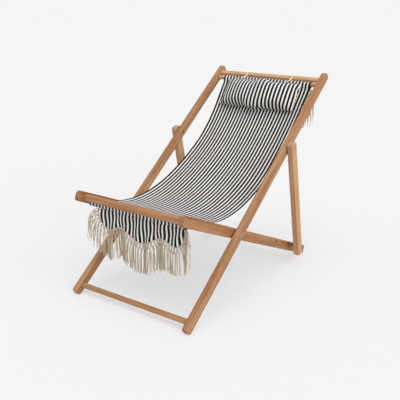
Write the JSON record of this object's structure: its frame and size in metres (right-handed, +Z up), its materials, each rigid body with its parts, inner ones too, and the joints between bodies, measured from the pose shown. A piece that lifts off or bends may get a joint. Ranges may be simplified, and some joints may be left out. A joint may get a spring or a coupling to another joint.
{
  "type": "folding deck chair",
  "caption": "Folding wooden deck chair with a striped hanging sling, fringed valances at both ends, a strapped head pillow and pegged prop legs that set the recline",
  "frame": {"origin": "centre of the footprint, on the floor", "axes": "+Z up; the sitter faces -Y; +X is the sitter's left"},
  "size_m": [0.598, 1.0186, 0.8129],
  "materials": {
    "wood": "oiled, satin",
    "steel": "dull zinc",
    "striped_cloth": "woven cotton canvas in equal narrow charcoal and off-white stripes",
    "cotton": "undyed cotton yarn and tape"
  },
  "bodies": {
    "back_frame": {"back_rail_left": "wood", "back_rail_right": "wood", "top_rail": "wood", "head_dowel": "wood", "foot_dowel": "wood", "main_pivot_bolts": "steel", "main_pivot_washers": "steel", "main_pivot_nuts": "steel", "prop_pivot_bolts": "steel", "prop_pivot_washers": "steel", "prop_pivot_nuts": "steel", "sling": "striped_cloth", "rear_valance": "striped_cloth", "rear_fringe": "cotton", "head_pillow": "striped_cloth", "pillow_strap_left": "cotton", "pillow_strap_right": "cotton"},
    "seat_frame": {"seat_rail_left": "wood", "seat_rail_right": "wood", "front_rail": "wood", "front_dowel": "wood", "rear_dowel": "wood", "front_valance": "striped_cloth", "front_fringe": "cotton"},
    "prop_left": {"prop_leg_left": "wood", "prop_peg_left": "wood"},
    "prop_right": {"prop_leg_right": "wood", "prop_peg_right": "wood"}
  },
  "joints": [
    {"name": "seat_fold", "type": "hinge", "parent": "back_frame", "child": "seat_frame", "pos_m": [0, -0.17488, 0.26768], "axis": [1, 0, 0], "range_deg": [-11.8, 60.6], "deforming": ["sling"]},
    {"name": "prop_left_swing", "type": "hinge", "parent": "back_frame", "child": "prop_left", "pos_m": [-0.287, 0.16939, 0.54006], "axis": [-1, 0, 0], "range_deg": [0, 63.3]},
    {"name": "prop_right_swing", "type": "hinge", "parent": "back_frame", "child": "prop_right", "pos_m": [0.287, 0.16939, 0.54006], "axis": [-1, 0, 0], "range_deg": [0, 63.3]}
  ]
}
